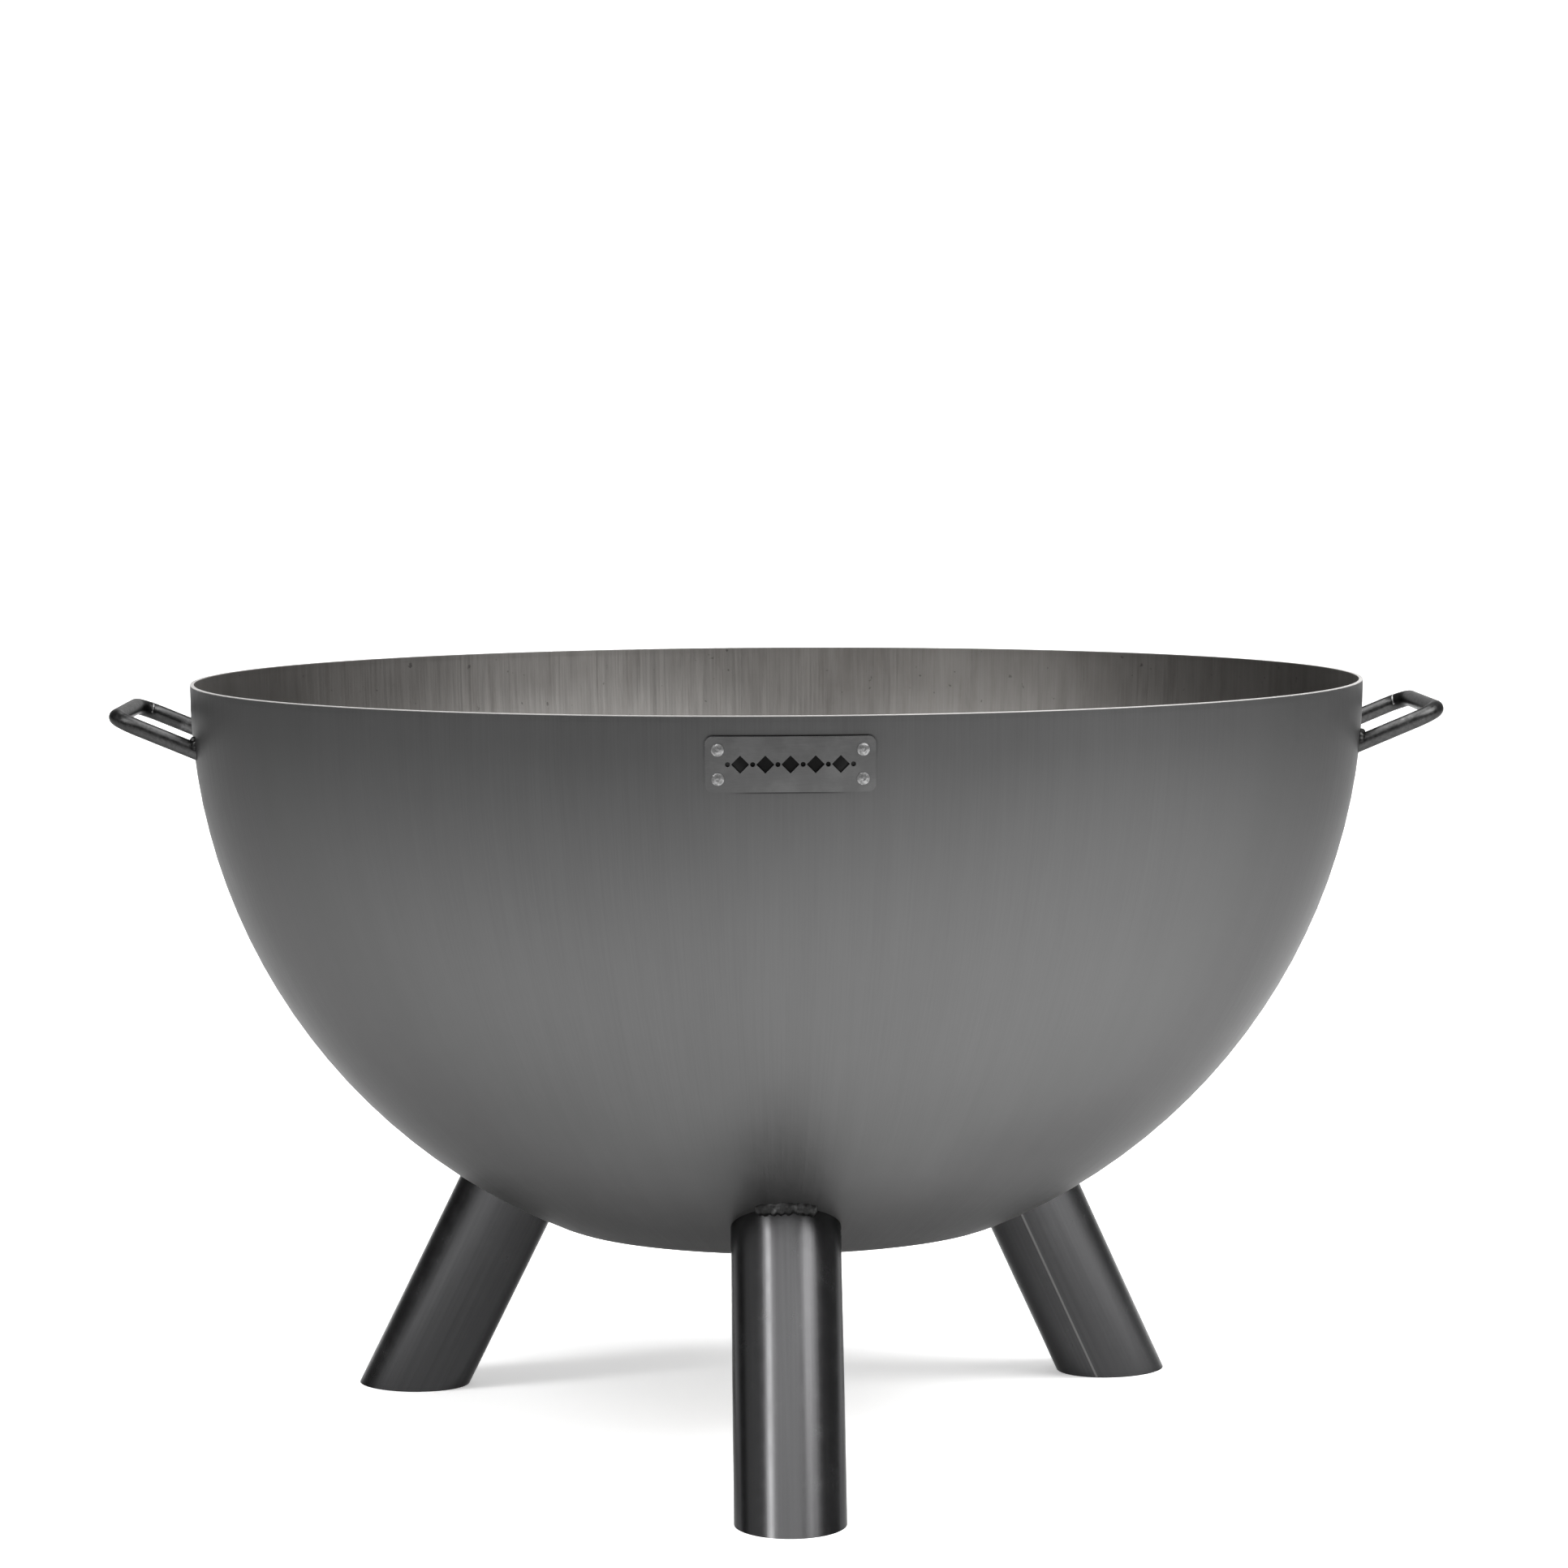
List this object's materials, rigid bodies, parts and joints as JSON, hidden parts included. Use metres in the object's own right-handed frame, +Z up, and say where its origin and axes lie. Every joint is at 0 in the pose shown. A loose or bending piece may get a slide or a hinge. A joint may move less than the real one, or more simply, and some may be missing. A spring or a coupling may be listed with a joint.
{
  "type": "fire pit",
  "caption": "Round steel fire bowl on three leaning tube legs, with two bent side handles, a riveted plate and a lift-out log grate.",
  "frame": {"origin": "on the floor, below the middle of the bowl", "axes": "+Z up; -Y is the front, where the name plate and the front leg are; the handles stand out along +X and -X"},
  "size_m": [0.891, 0.7919, 0.512],
  "materials": {
    "bowl_steel": "raw sheet steel, satin, with fine draw marks",
    "leg_tube_steel": "mill scale, dark and half glossy",
    "handle_bar_steel": "dark round bar",
    "weld_bead": "rough weld bead",
    "plate_steel": "satin sheet steel",
    "rivet_steel": "bright satin",
    "grate_steel": "round bar, darkened by heat"
  },
  "bodies": {
    "fire_bowl": {"bowl": "bowl_steel", "front_leg": "leg_tube_steel", "right_rear_leg": "leg_tube_steel", "left_rear_leg": "leg_tube_steel", "front_leg_welds": "weld_bead", "right_rear_leg_welds": "weld_bead", "left_rear_leg_welds": "weld_bead", "left_handle": "handle_bar_steel", "right_handle": "handle_bar_steel", "left_handle_welds": "weld_bead", "right_handle_welds": "weld_bead", "name_plate": "plate_steel", "plate_rivets": "rivet_steel", "rivet_mandrels": "rivet_steel"},
    "grate": {"grate_ring": "grate_steel", "grate_front_support": "grate_steel", "grate_rear_support": "grate_steel", "grate_bar_01": "grate_steel", "grate_bar_02": "grate_steel", "grate_bar_03": "grate_steel", "grate_bar_04": "grate_steel", "grate_bar_05": "grate_steel", "grate_bar_06": "grate_steel", "grate_bar_07": "grate_steel", "grate_bar_08": "grate_steel", "grate_bar_09": "grate_steel", "grate_bar_10": "grate_steel", "grate_bar_11": "grate_steel", "grate_bar_12": "grate_steel", "grate_bar_13": "grate_steel", "grate_bar_14": "grate_steel", "grate_bar_15": "grate_steel", "grate_left_loop": "grate_steel", "grate_right_loop": "grate_steel"}
  },
  "joints": [
    {"name": "grate_lift", "type": "slide", "parent": "fire_bowl", "child": "grate", "axis": [0, 0, 1], "range_m": [0, 0.33]}
  ]
}
